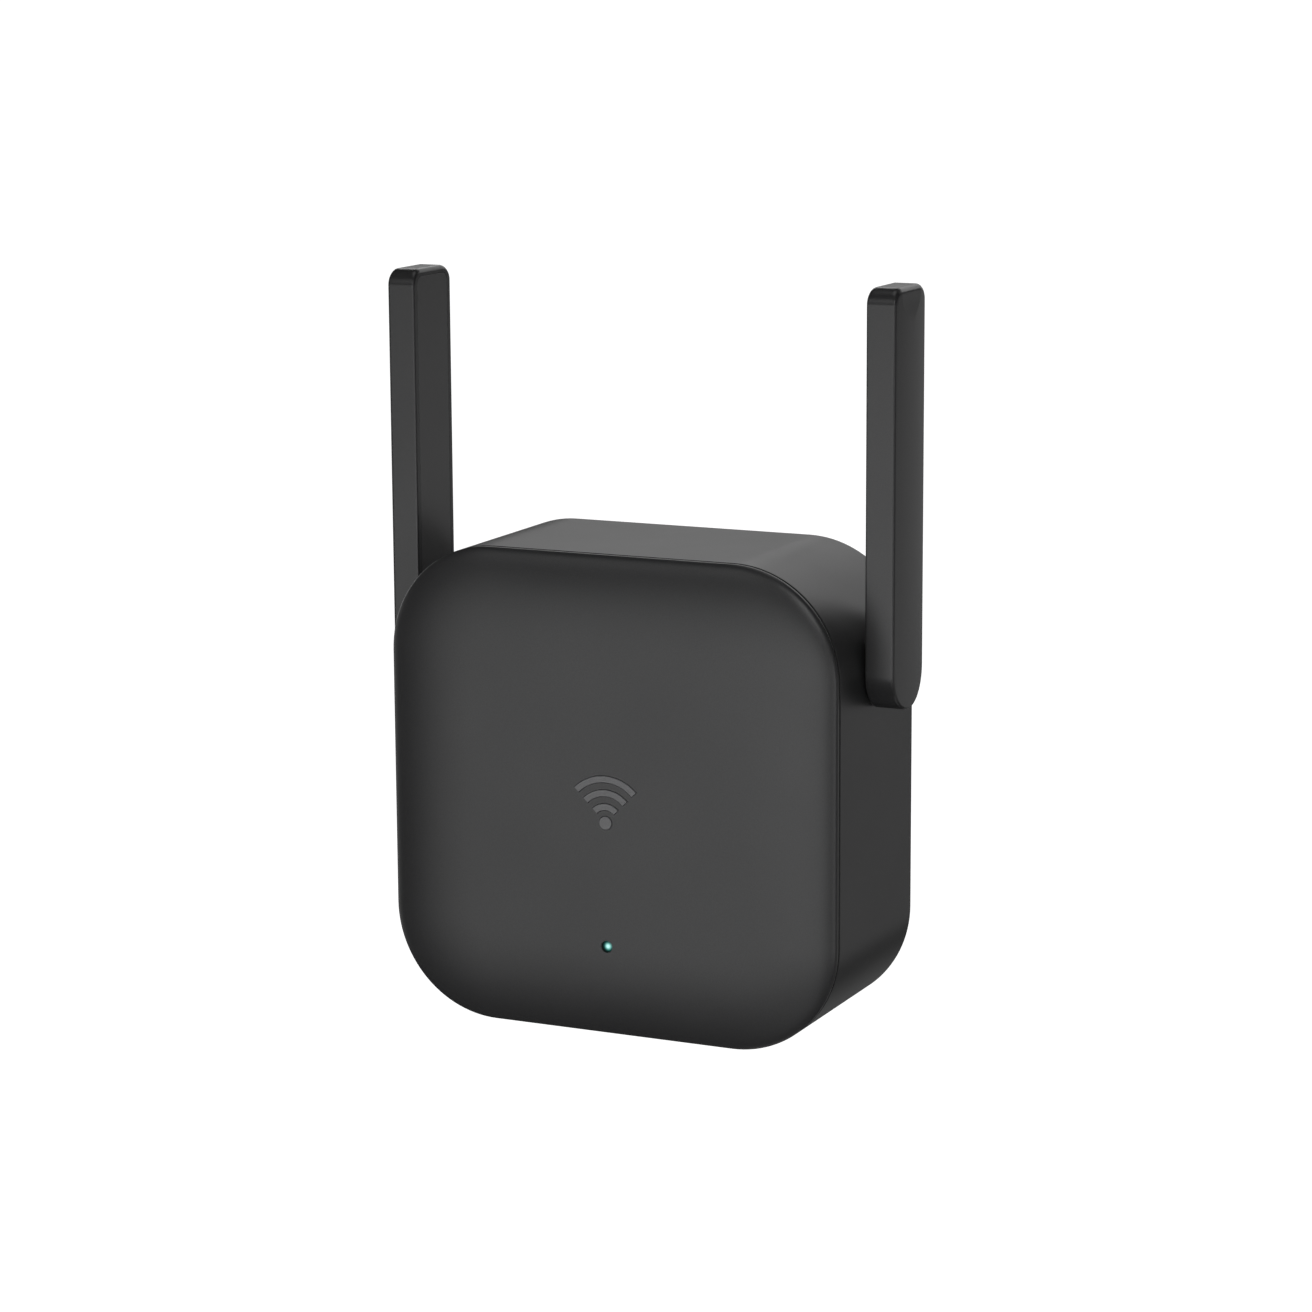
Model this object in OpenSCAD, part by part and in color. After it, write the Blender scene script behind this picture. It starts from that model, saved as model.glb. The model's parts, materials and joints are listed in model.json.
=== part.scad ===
// Plug-in wifi range extender: a rounded square case with a crowned front cover, a two-pin
// mains plug on the back and two flat antennas that turn on hollow hinge shafts in its sides.
// Millimetres. X is to the right seen from the front, Y points into the wall, Z is up.
// The origin is the middle of the plug's end face, between the two pins.

/* [Body] */
// Width of the case
body_w = 66; // [64:1:72]
// Height of the case
body_h = 66; // [64:1:72]
// Depth of the case from the front seam to the rear face
body_d = 26; // [25.6:0.2:28]
// Radius of the four corners of the case
corner_r = 15.2; // [14:0.2:16]
// Wall thickness of the case
wall = 1.6; // [1.6:0.1:1.8]
// How far the front cover's crown stands in front of the seam
crown = 2.2; // [2:0.1:2.6]
// Width of the band over which the front cover rolls away to its edge
crown_band = 12.5; // [10:0.5:13]

/* [Antennas] */
// Width of an antenna, front to back
antenna_w = 10.6; // [10:0.2:11]
// Thickness of an antenna, side to side
antenna_t = 4.3; // [4:0.1:4.6]
// Radius of the two corners at an antenna's tip
antenna_tip_r = 2.2; // [1.6:0.2:3]
// Height of the arc across an antenna's outer face
antenna_crown = 0.2; // [0.1:0.05:0.6]
// Gap between an antenna and the side of the case
antenna_gap = 0.35; // [0.3:0.05:0.5]

/* [Plug] */
// How far the plug stands out of the rear face
boss_h = 11; // [10:0.5:13]
// Distance between the two pins
pin_pitch = 19; // [18:0.5:19.2]
// Radius of a pin
pin_r = 2; // [1.9:0.1:2.4]
// Length of a pin outside the plug
pin_len = 19; // [17:0.5:20]

/* [Status light] */
// Radius of the status light's hole
light_r = 0.8; // [0.7:0.1:1.2]
// Distance of the status light below the middle of the case
light_drop = 20.4; // [18:0.2:21]

/* [Hidden] */
$fn = 48;
rear_y = -boss_h;
seam_y = rear_y - body_d;
crown_y = seam_y - crown;
side_x = body_w / 2;
top_z = body_h / 2;
back_t = 2;
back_in_y = rear_y - back_t;
cover_edge = 0.45;
joint_gap = 0.12;
seam_groove = 0.35;

hinge_y = seam_y + body_d / 2;
hinge_z = top_z - corner_r + 0.2;
antenna_reach = top_z + hinge_z;
antenna_x = side_x + antenna_gap;
antenna_wall = 1;
lid_t = 1;
antenna_ledge = 0.6;
shaft_r = 2.5;
shaft_bore_r = 1;
bush_r = 3.6;
bush_flange_r = 5;
bush_flange_t = 0.8;
wall_corner_r = corner_r - wall;
wall_curve = wall_corner_r - sqrt(pow(wall_corner_r, 2) - pow(bush_flange_r, 2));
bush_seat_x = side_x - wall - wall_curve - 0.05;
bush_in_x = bush_seat_x - bush_flange_t;
washer_t = 0.8;
clip_t = 0.8;
hinge_play = 0.05;
clip_x = bush_in_x - washer_t - hinge_play - clip_t;
shaft_end_x = clip_x - 0.8;
shaft_head_r = 3.6;
shaft_head_x = antenna_x + 0.4;
groove_r = 2;

coax_r = 0.57;
coax_bend = 3;
coax_antenna_bend = 1.5;
coax_antenna_x = antenna_x + lid_t + 0.65;

main_y = seam_y + 4.6;
main_t = 1;
main_half = 28.5;
main_corner = 12;
main_back_y = main_y + main_t;
post_at = 22.5;
post_r = 2.6;

flange_t = 1.4;
flange_y = back_in_y - flange_t;
contact_t = 1.6;
power_back_y = flange_y - contact_t;
power_t = 1.6;
power_y = power_back_y - power_t;
power_w = 38;
power_h = 52;
power_post_x = 15;
power_post_z = 21;
plug_w = 35.3;
plug_h = 13.7;
plug_chamfer = 5;
sleeve_len = 10;
sleeve_in = 1.5;
sleeve_r = pin_r - 0.25;
pin_core_r = 1.25;

screw_r = 0.98;
screw_head_r = 1.9;
screw_head_h = 1.3;
pilot_r = 1;

reset_x = 16;
reset_y = main_back_y + 1.9;
reset_hole_r = 1.5;
button_r = 1.2;
button_in = 0.8;
switch_z = -top_z + 5.2;
stem_len = 0.9;

// ---------- building blocks ----------

// A shape drawn in X and Z, made solid from y0 to y1.
module slab(y0, y1) {
    translate([0, y1, 0]) rotate([90, 0, 0]) linear_extrude(y1 - y0) children();
}

// A shape drawn in Y and Z, made solid from x0 to x1.
module plate(x0, x1) {
    translate([x0, 0, 0]) rotate([90, 0, 90]) linear_extrude(x1 - x0) children();
}

// A rectangle with round corners, centred.
module rounded(w, h, r) {
    square([w - 2 * r, h], center = true);
    square([w, h - 2 * r], center = true);
    for (sx = [-1, 1], sz = [-1, 1])
        translate([sx * (w / 2 - r), sz * (h / 2 - r)]) circle(r);
}

// A round bar along Y at x, z.
module bar_y(r, x, z, y0, y1) {
    translate([x, y1, z]) rotate([90, 0, 0]) cylinder(r = r, h = y1 - y0);
}

// A round bar along X on the right-hand hinge axis.
module bar_x(r, x0, x1) {
    translate([x0, hinge_y, hinge_z]) rotate([0, 90, 0]) cylinder(r = r, h = x1 - x0);
}

// A box given by its middle in X and Z, its size and its span in Y.
module block(x, z, w, h, y0, y1) {
    translate([x - w / 2, y0, z - h / 2]) cube([w, y1 - y0, h]);
}

// The case's outline, drawn in by inset.
module case_outline(inset) {
    rounded(body_w - 2 * inset, body_h - 2 * inset, corner_r - inset);
}

// Mirrors the right-hand side to the left.
module on_left() {
    mirror([1, 0, 0]) children();
}

// Places a copy at each of the main board's four posts.
module at_posts() {
    for (sx = [-1, 1], sz = [-1, 1]) translate([sx * post_at, 0, sz * post_at]) children();
}

// Places a copy at each of the power board's two posts.
module at_power_posts() {
    for (s = [-1, 1]) translate([s * power_post_x, 0, -s * power_post_z]) children();
}

// ---------- front cover ----------

arc_steps = 8;
crown_steps = 10;
function corner_points(cx, cz, r, from) =
    [for (i = [0:arc_steps]) let (a = from + 90 * i / arc_steps) [cx + r * cos(a), cz + r * sin(a)]];
function outline_points(inset) =
    let (x = body_w / 2 - corner_r, z = body_h / 2 - corner_r, r = corner_r - inset)
    concat(corner_points(x, z, r, 0), corner_points(-x, z, r, 90),
        corner_points(-x, -z, r, 180), corner_points(x, -z, r, 270));
function crown_inset(i) = crown_band * (1 - cos(90 * i / crown_steps));
function crown_rise(i) = cover_edge + (crown - cover_edge) * sin(90 * i / crown_steps);

// The crowned plate: a flat back on the seam and rings that roll in to the flat middle.
module crowned_plate() {
    levels = concat([[0, 0]], [for (i = [0:crown_steps]) [crown_inset(i), crown_rise(i)]]);
    ring = len(outline_points(0));
    points = [for (l = levels) for (p = outline_points(l[0])) [p[0], seam_y - l[1], p[1]]];
    last = (len(levels) - 1) * ring;
    sides = [for (l = [0:len(levels) - 2]) for (i = [0:ring - 1])
        [(l + 1) * ring + i, (l + 1) * ring + (i + 1) % ring, l * ring + (i + 1) % ring, l * ring + i]];
    back = [for (i = [0:ring - 1]) i];
    front = [for (i = [0:ring - 1]) last + ring - 1 - i];
    polyhedron(points, concat([back], sides, [front]), convexity = 4);
}

rim_t = 1.2;
rim_len = 2.6;
hook_len = 10;

// Places a copy at the middle of each of the four sides, turned to face outwards.
module at_sides() {
    for (a = [0:90:270]) rotate([0, a, 0]) children();
}

// The emblem's outline: a dot and three radio-wave arcs.
module waves() {
    foot = -3.2;
    translate([0, foot]) {
        circle(0.95);
        intersection() {
            union() for (r = [2.7, 4.6, 6.5]) difference() {
                circle(r);
                circle(r - 0.95);
            }
            polygon([[0, 0], [8, 8], [-8, 8]]);
        }
    }
}

emblem_depth = 0.35;
emblem_proud = 0.15;

module front_cover() {
    rim = wall + joint_gap;
    color("#2e2e2f") difference() {
        union() {
            crowned_plate();
            difference() {
                slab(seam_y, seam_y + rim_len) case_outline(rim);
                slab(seam_y - 1, seam_y + rim_len + 1) case_outline(rim + rim_t);
            }
            at_sides() translate([-hook_len / 2, seam_y + 1.2, body_h / 2 - rim - 0.2])
                cube([hook_len, 0.8, 0.6]);
        }
        bar_y(light_r, 0, -light_drop, crown_y - 1, seam_y + 1);
        slab(crown_y - 1, crown_y + emblem_depth) waves();
    }
}

module front_emblem() {
    color("#5b5c5e") slab(crown_y - emblem_proud, crown_y + emblem_depth) waves();
}

module light_pipe() {
    color("#2fb3a8") union() {
        bar_y(light_r - 0.05, 0, -light_drop, crown_y + 0.3, main_y - 0.8);
        bar_y(light_r + 0.8, 0, -light_drop, seam_y, seam_y + 0.6);
    }
}

// ---------- rear housing ----------

vent_count = 9;
vent_pitch = 2.6;

module rear_housing() {
    hook_room = 0.15;
    color("#29292a") difference() {
        union() {
            difference() {
                slab(seam_y, rear_y) case_outline(0);
                slab(seam_y - 1, back_in_y) case_outline(wall);
            }
            at_posts() bar_y(post_r, 0, 0, main_back_y, back_in_y);
            at_power_posts() bar_y(post_r, 0, 0, power_back_y, back_in_y);
        }
        at_posts() bar_y(pilot_r, 0, 0, main_back_y - 1, main_back_y + 8);
        at_power_posts() bar_y(pilot_r, 0, 0, power_back_y - 1, back_in_y);
        at_sides() translate([-hook_len / 2 - hook_room, seam_y + 1.2 - hook_room,
            body_h / 2 - wall - 0.1]) cube([hook_len + 2 * hook_room, 0.8 + 2 * hook_room, 0.5]);
        difference() {
            slab(seam_y - 1, seam_y + seam_groove) case_outline(-1);
            slab(seam_y - 2, seam_y + 1) case_outline(seam_groove);
        }
        slab(back_in_y - 1, rear_y + 1) plug_outline(joint_gap);
        bar_x(bush_r, bush_in_x, side_x + 1);
        on_left() bar_x(bush_r, bush_in_x, side_x + 1);
        for (i = [0:vent_count - 1]) translate([(i - (vent_count - 1) / 2) * vent_pitch, hinge_y,
            -top_z + wall / 2]) cube([1.2, 9, wall + 2], center = true);
        translate([reset_x, reset_y, -top_z - 1]) cylinder(r = reset_hole_r, h = wall + 2);
    }
}

module rating_label() {
    color("#1d1d1e") slab(rear_y, rear_y + 0.15) translate([0, -20]) rounded(34, 10, 1.5);
}

// ---------- plug ----------

// The plug's flat eight-sided outline, drawn out by gap.
module plug_outline(gap) {
    w = plug_w / 2 + gap;
    h = plug_h / 2 + gap;
    c = plug_chamfer;
    polygon([[w, h - c], [w - c, h], [c - w, h], [-w, h - c],
        [-w, c - h], [c - w, -h], [w - c, -h], [w, c - h]]);
}

module plug_base() {
    color("#262627") difference() {
        union() {
            slab(back_in_y, 0) plug_outline(0);
            slab(flange_y, back_in_y) rounded(plug_w + 5, plug_h + 5, 2);
        }
        for (s = [-1, 1]) {
            bar_y(pin_core_r, s * pin_pitch / 2, 0, flange_y - 1, 1);
            bar_y(sleeve_r, s * pin_pitch / 2, 0, -sleeve_in, 1);
        }
    }
}

// A pin with a thin core, where its sleeve sits, and a full, round-ended tip.
module plug_pin(x) {
    color("#c9c6bf") union() {
        bar_y(pin_core_r, x, 0, flange_y, sleeve_len);
        bar_y(pin_r, x, 0, sleeve_len, pin_len - pin_r / 2);
        translate([x, pin_len - pin_r / 2, 0]) rotate([-90, 0, 0])
            cylinder(r1 = pin_r, r2 = pin_r * 0.6, h = pin_r / 2);
    }
}

module pin_sleeve(x) {
    color("#1b1b1c") difference() {
        bar_y(sleeve_r, x, 0, -sleeve_in, sleeve_len);
        bar_y(pin_core_r, x, 0, -sleeve_in - 1, sleeve_len + 1);
    }
}

module plug_pin_left() plug_pin(-pin_pitch / 2);
module plug_pin_right() plug_pin(pin_pitch / 2);
module pin_sleeve_left() pin_sleeve(-pin_pitch / 2);
module pin_sleeve_right() pin_sleeve(pin_pitch / 2);

// Two leaves that join the pins to the power board.
module plug_contacts() {
    color("#b08a3c") for (s = [-1, 1]) union() {
        block(s * pin_pitch / 2, 0, 4, 3.4, power_back_y, power_back_y + 0.4);
        block(s * pin_pitch / 2, 0, 4, 3.4, flange_y - 0.4, flange_y);
        block(s * (pin_pitch / 2 + 1.8), 0, 0.4, 3.4, power_back_y, flange_y);
    }
}

// ---------- power board ----------

module power_board() {
    color("#1d5a34") difference() {
        slab(power_y, power_back_y) rounded(power_w, power_h, 1.5);
        at_power_posts() bar_y(screw_r + 0.2, 0, 0, power_y - 1, power_back_y + 1);
    }
}

transformer_z = 4;

// The transformer's two-legged core, round its winding.
module transformer_core() {
    color("#3a3a3d") difference() {
        block(0, transformer_z, 14, 13, power_y - 11, power_y - 1);
        block(0, transformer_z, 10, 14, power_y - 9, power_y - 3);
    }
}

module transformer_winding() {
    color("#d9b84a") union() {
        block(0, transformer_z, 9.8, 11, power_y - 8.9, power_y - 3.1);
        block(0, transformer_z + 7.3, 11, 1.4, power_y - 9, power_y);
        block(0, transformer_z - 7.3, 11, 1.4, power_y - 9, power_y);
        block(0, transformer_z + 6, 9.8, 1.2, power_y - 8.9, power_y - 3.1);
        block(0, transformer_z - 6, 9.8, 1.2, power_y - 8.9, power_y - 3.1);
    }
}

// An upright capacitor with a waist near its foot and a grooved end.
module capacitor(r, x, z, h) {
    difference() {
        bar_y(r, x, z, power_y - h, power_y);
        difference() {
            bar_y(r + 1, x, z, power_y - 1.6, power_y - 1);
            bar_y(r - 0.3, x, z, power_y - 2, power_y);
        }
        block(x, z, r * 1.4, 0.3, power_y - h - 1, power_y - h + 0.3);
        block(x, z, 0.3, r * 1.4, power_y - h - 1, power_y - h + 0.3);
    }
}

module bulk_capacitors() {
    color("#22242a") for (s = [-1, 1]) capacitor(4, s * 13.5, -8, 11);
}

module output_capacitors() {
    color("#2c4a7a") for (z = [2.5, 10]) capacitor(3.2, 13.5, z, 9);
}

module input_fuse() {
    r = 1.9;
    color("#7f9f6a") translate([-17, power_y - r, -19]) rotate([0, 90, 0])
        cylinder(r = r, h = 8);
}

module input_choke() {
    color("#8f5a2a") difference() {
        bar_y(4.2, 4, -20, power_y - 7, power_y);
        bar_y(1.6, 4, -20, power_y - 8, power_y + 1);
    }
}

module bridge_rectifier() {
    color("#1c1c1e") block(-5, -20, 4.6, 6, power_y - 2.4, power_y);
}

module noise_capacitor() {
    r = 3.6;
    color("#3f78b4") translate([-13.5, power_y - r, 4]) rotate([0, 90, 0])
        cylinder(r = r, h = 2.6, center = true);
}

module power_controller() {
    color("#1c1c1e") block(-12, 14, 5, 4, power_y - 1.6, power_y);
}

module output_inductor() {
    color("#4b3b34") difference() {
        bar_y(3, -3, 20, power_y - 5, power_y);
        difference() {
            bar_y(4, -3, 20, power_y - 4, power_y - 1);
            bar_y(2.3, -3, 20, power_y - 6, power_y + 1);
        }
    }
}

// The stacking header that carries power from one board to the other.
module board_header() {
    color("#d8d5c8") block(7, 22, 10, 2.6, main_back_y, power_y);
}

module insulation_sheet() {
    color("#d9cfa8") difference() {
        slab(main_back_y, main_back_y + 0.2) rounded(22, 38, 2);
        block(7, 22, 11, 9, main_back_y - 1, main_back_y + 1);
    }
}

// ---------- main board ----------

module main_board() {
    color("#14532d") difference() {
        slab(main_y, main_back_y) rounded(2 * main_half, 2 * main_half, main_corner);
        at_posts() bar_y(screw_r + 0.2, 0, 0, main_y - 1, main_back_y + 1);
    }
}

shield_z = 8;
shield_h = 2.2;

module rf_shield() {
    color("#b9bcc0") difference() {
        block(0, shield_z, 22, 18, main_y - shield_h, main_y);
        block(0, shield_z, 21.4, 17.4, main_y - shield_h + 0.3, main_y + 1);
    }
}

module wifi_chip() {
    color("#1c1c1e") block(0, shield_z, 9, 9, main_y - 1, main_y);
}

module flash_chip() {
    color("#1c1c1e") block(17.5, -4, 5, 6, main_y - 1.6, main_y);
}

module crystal() {
    color("#c6c8cb") block(-16, 4, 2.6, 3.4, main_y - 0.9, main_y);
}

module board_passives() {
    color("#b79b6c") for (i = [0:6]) {
        block(-20 + i * 2.2, -6, 0.9, 1.7, main_y - 0.6, main_y);
        block(7 + i * 2.2, -12, 0.9, 1.7, main_y - 0.6, main_y);
    }
}

module thermal_pad() {
    color("#8fa3b5") block(0, shield_z, 16, 13, seam_y, main_y - shield_h);
}

module status_led() {
    color("#d9f3ee") block(0, -light_drop, 1.8, 1.2, main_y - 0.8, main_y);
}

connector_x = 13.5;
connector_half = 1.4;

module rf_connectors() {
    color("#c9a24a") for (s = [-1, 1])
        block(s * connector_x, hinge_z, 2 * connector_half, 2.8, main_back_y, main_back_y + 1.8);
}

module board_screws() {
    color("#b4b6b8") union() {
        at_posts() union() {
            bar_y(screw_r, 0, 0, main_y, main_back_y + 7.4);
            bar_y(screw_head_r, 0, 0, main_y - screw_head_h, main_y);
        }
        at_power_posts() union() {
            bar_y(screw_r, 0, 0, power_y, back_in_y - 0.2);
            bar_y(screw_head_r, 0, 0, power_y - screw_head_h, power_y);
        }
    }
}

// ---------- reset button ----------

module reset_switch() {
    color("#c2c4c6") difference() {
        translate([reset_x - 3, main_back_y, switch_z]) cube([6, 3.8, 3.6]);
        translate([reset_x, reset_y, switch_z - 1]) cylinder(r = 1, h = 2.2);
    }
}

module reset_stem() {
    color("#1c1c1e") translate([reset_x, reset_y, switch_z - stem_len])
        cylinder(r = 0.85, h = stem_len + 0.6);
}

// The button: a finger in the pinhole and a collar that keeps it in the case.
module reset_button() {
    foot = -top_z + button_in;
    color("#3a3a3c") translate([reset_x, reset_y, 0]) union() {
        translate([0, 0, foot]) cylinder(r = button_r, h = switch_z - stem_len - foot);
        translate([0, 0, -top_z + wall + 0.1]) cylinder(r = 2, h = 0.8);
    }
}

// ---------- hinges ----------

module hinge_bush() {
    color("#3a3a3c") difference() {
        union() {
            bar_x(bush_r, bush_in_x, antenna_x - hinge_play);
            bar_x(bush_flange_r, bush_in_x, bush_seat_x);
        }
        bar_x(shaft_r + hinge_play, bush_in_x - 1, side_x + 1);
    }
}

module friction_washer() {
    color("#b7b9bb") difference() {
        bar_x(4.2, bush_in_x - washer_t, bush_in_x);
        bar_x(shaft_r + hinge_play, bush_in_x - washer_t - 1, bush_in_x + 1);
    }
}

// The snap ring in the shaft's groove, open at one side.
module hinge_clip() {
    color("#9fa2a5") difference() {
        bar_x(3.8, clip_x, clip_x + clip_t);
        bar_x(groove_r, clip_x - 1, clip_x + clip_t + 1);
        translate([clip_x - 1, hinge_y - 1.5, hinge_z - 5]) cube([clip_t + 2, 3, 5]);
    }
}

module hinge_bush_right() hinge_bush();
module hinge_bush_left() on_left() hinge_bush();
module friction_washer_right() friction_washer();
module friction_washer_left() on_left() friction_washer();
module hinge_clip_right() hinge_clip();
module hinge_clip_left() on_left() hinge_clip();

// ---------- antennas ----------

// An antenna's side outline about its hinge, drawn in by inset.
module antenna_outline(inset) {
    half = antenna_w / 2 - inset;
    tip = antenna_reach - inset;
    r = antenna_tip_r - inset / 2;
    translate([hinge_y, hinge_z]) {
        circle(half);
        translate([-half, 0]) square([2 * half, tip - r]);
        translate([r - half, 0]) square([2 * (half - r), tip]);
        for (s = [-1, 1]) translate([s * (half - r), tip - r]) circle(r);
    }
}

// The shell is open towards the case; a shallow arc crowns its outer face.
module antenna_shell() {
    outer_x = antenna_x + antenna_t;
    arc_r = (pow(antenna_w / 2, 2) + pow(antenna_crown, 2)) / (2 * antenna_crown);
    deep_x = outer_x - antenna_wall - antenna_crown / 2;
    color("#2e2e2f") difference() {
        intersection() {
            plate(antenna_x, outer_x) antenna_outline(0);
            translate([outer_x - arc_r, hinge_y, hinge_z - antenna_w])
                cylinder(r = arc_r, h = antenna_reach + 2 * antenna_w, $fn = 180);
        }
        plate(antenna_x - 1, antenna_x + lid_t) antenna_outline(antenna_wall);
        plate(antenna_x, deep_x) antenna_outline(antenna_wall + antenna_ledge);
    }
}

// The lid closes the shell and holds the hinge shaft by its head.
module antenna_lid() {
    color("#2b2b2c") difference() {
        plate(antenna_x, antenna_x + lid_t) antenna_outline(antenna_wall + 0.05);
        bar_x(shaft_r, antenna_x - 1, antenna_x + lid_t + 1);
        bar_x(shaft_head_r, shaft_head_x, antenna_x + lid_t + 1);
    }
}

// The hollow shaft: a head in the lid, a groove for the clip and a wide mouth for the lead.
module hinge_shaft() {
    color("#a9abad") difference() {
        union() {
            bar_x(shaft_r, shaft_end_x, antenna_x + lid_t);
            bar_x(shaft_head_r, shaft_head_x, antenna_x + lid_t);
        }
        bar_x(shaft_bore_r, shaft_end_x - 1, antenna_x + lid_t + 1);
        bar_x(1.7, antenna_x + 0.25, antenna_x + lid_t + 1);
        difference() {
            bar_x(shaft_r + 1, clip_x, clip_x + clip_t);
            bar_x(groove_r, clip_x - 1, clip_x + clip_t + 1);
        }
    }
}

element_x = coax_antenna_x + coax_r;
element_t = 0.5;

// The printed antenna: a thin strip with two slots that part its arms.
module antenna_element() {
    color("#b87333") difference() {
        translate([element_x, hinge_y - 2.9, hinge_z + 9]) cube([element_t, 5.8, 36]);
        for (s = [-1, 1]) translate([element_x - 1, hinge_y + s * 1.5 - 0.3, hinge_z + 25])
            cube([element_t + 2, 0.6, 15]);
    }
}

// The lead in the antenna: along the hollow shaft, round a bend and up to the printed strip.
module antenna_coax() {
    bend_x = coax_antenna_x - coax_antenna_bend;
    color("#1a1a1a") union() {
        bar_x(coax_r, shaft_end_x, bend_x);
        translate([bend_x, hinge_y, hinge_z + coax_antenna_bend]) rotate([90, 0, 0])
            rotate([0, 0, -90]) rotate_extrude(angle = 90)
                translate([coax_antenna_bend, 0]) circle(coax_r);
        translate([coax_antenna_x, hinge_y, hinge_z + coax_antenna_bend])
            cylinder(r = coax_r, h = 12 - coax_antenna_bend);
    }
}

// The lead in the case: out of the shaft, through two bends and into its connector.
module coax() {
    turn_x = 24;
    color("#1a1a1a") union() {
        bar_x(coax_r, turn_x, shaft_end_x - 0.1);
        translate([turn_x, hinge_y - coax_bend, hinge_z]) rotate([0, 0, 90])
            rotate_extrude(angle = 90) translate([coax_bend, 0]) circle(coax_r);
        translate([turn_x - 2 * coax_bend, hinge_y - coax_bend, hinge_z]) rotate([0, 0, -90])
            rotate_extrude(angle = 90) translate([coax_bend, 0]) circle(coax_r);
        translate([connector_x + connector_half, hinge_y - 2 * coax_bend, hinge_z])
            rotate([0, 90, 0])
                cylinder(r = coax_r, h = turn_x - 2 * coax_bend - connector_x - connector_half);
    }
}

module antenna_shell_right() antenna_shell();
module antenna_shell_left() on_left() antenna_shell();
module antenna_lid_right() antenna_lid();
module antenna_lid_left() on_left() antenna_lid();
module hinge_shaft_right() hinge_shaft();
module hinge_shaft_left() on_left() hinge_shaft();
module antenna_element_right() antenna_element();
module antenna_element_left() on_left() antenna_element();
module antenna_coax_right() antenna_coax();
module antenna_coax_left() on_left() antenna_coax();
module coax_right() coax();
module coax_left() on_left() coax();

front_cover();
front_emblem();
rear_housing();
light_pipe();
rating_label();
plug_base();
plug_pin_left();
plug_pin_right();
pin_sleeve_left();
pin_sleeve_right();
plug_contacts();
power_board();
transformer_core();
transformer_winding();
bulk_capacitors();
output_capacitors();
input_fuse();
input_choke();
bridge_rectifier();
noise_capacitor();
power_controller();
output_inductor();
board_header();
insulation_sheet();
main_board();
rf_shield();
wifi_chip();
flash_chip();
crystal();
board_passives();
thermal_pad();
status_led();
rf_connectors();
reset_switch();
reset_stem();
reset_button();
board_screws();
coax_left();
coax_right();
hinge_bush_left();
hinge_bush_right();
friction_washer_left();
friction_washer_right();
hinge_clip_left();
hinge_clip_right();
hinge_shaft_left();
hinge_shaft_right();
antenna_shell_left();
antenna_shell_right();
antenna_lid_left();
antenna_lid_right();
antenna_element_left();
antenna_element_right();
antenna_coax_left();
antenna_coax_right();
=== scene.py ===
"""Looks of the plug-in wifi range extender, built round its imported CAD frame.

Metres throughout. X is to the right seen from the front, Y points into the wall, Z is up.
"""

import json
import math

import bmesh
import bpy
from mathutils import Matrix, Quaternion, Vector


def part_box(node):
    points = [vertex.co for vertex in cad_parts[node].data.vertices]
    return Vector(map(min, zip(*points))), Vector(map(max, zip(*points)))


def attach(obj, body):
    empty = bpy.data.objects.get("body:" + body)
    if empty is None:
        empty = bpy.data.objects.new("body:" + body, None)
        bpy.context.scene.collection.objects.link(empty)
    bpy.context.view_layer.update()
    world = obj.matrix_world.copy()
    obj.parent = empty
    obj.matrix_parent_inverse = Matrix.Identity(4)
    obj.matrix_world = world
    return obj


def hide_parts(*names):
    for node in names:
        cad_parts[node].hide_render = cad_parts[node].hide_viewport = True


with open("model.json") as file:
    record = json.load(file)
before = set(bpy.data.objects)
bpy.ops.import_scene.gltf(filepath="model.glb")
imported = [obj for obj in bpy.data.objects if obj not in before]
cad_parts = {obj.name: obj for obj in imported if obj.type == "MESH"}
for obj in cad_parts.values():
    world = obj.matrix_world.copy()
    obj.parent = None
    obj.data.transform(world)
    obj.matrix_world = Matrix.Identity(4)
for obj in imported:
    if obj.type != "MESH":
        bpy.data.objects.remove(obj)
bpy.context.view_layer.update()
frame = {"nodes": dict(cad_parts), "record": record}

MM = 0.001
SLOTS = {s["node"]: s["material_slot"] for s in frame["record"]["subparts"]}
COLOURS = {m["slot"]: m["base_color"][:3] for m in frame["record"]["materials"]}
JOINTS = {j["name"]: j for j in frame["record"]["behaviour"]["joints"]}

# ---------- places read from the frame ----------

CASE_LOW, CASE_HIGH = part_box("rear_housing")
COVER_LOW, COVER_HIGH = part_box("front_cover")
EMBLEM_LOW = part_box("front_emblem")[0]
PIPE_LOW, PIPE_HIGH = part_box("light_pipe")
PLUG_LOW, PLUG_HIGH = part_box("plug_base")
BUTTON_LOW, BUTTON_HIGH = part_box("reset_button")
WIDTH = CASE_HIGH[0] - CASE_LOW[0]
HEIGHT = CASE_HIGH[2] - CASE_LOW[2]
SEAM_Y, REAR_Y = CASE_LOW[1], CASE_HIGH[1]
CROWN_Y = COVER_LOW[1]
RIM_Y = COVER_HIGH[1]
HINGE = Vector(JOINTS["antenna_right_fold"]["pos_m"])
LIGHT_Z = (PIPE_LOW[2] + PIPE_HIGH[2]) / 2

# ---------- sizes of the CAD model that its boxes don't give ----------

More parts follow.
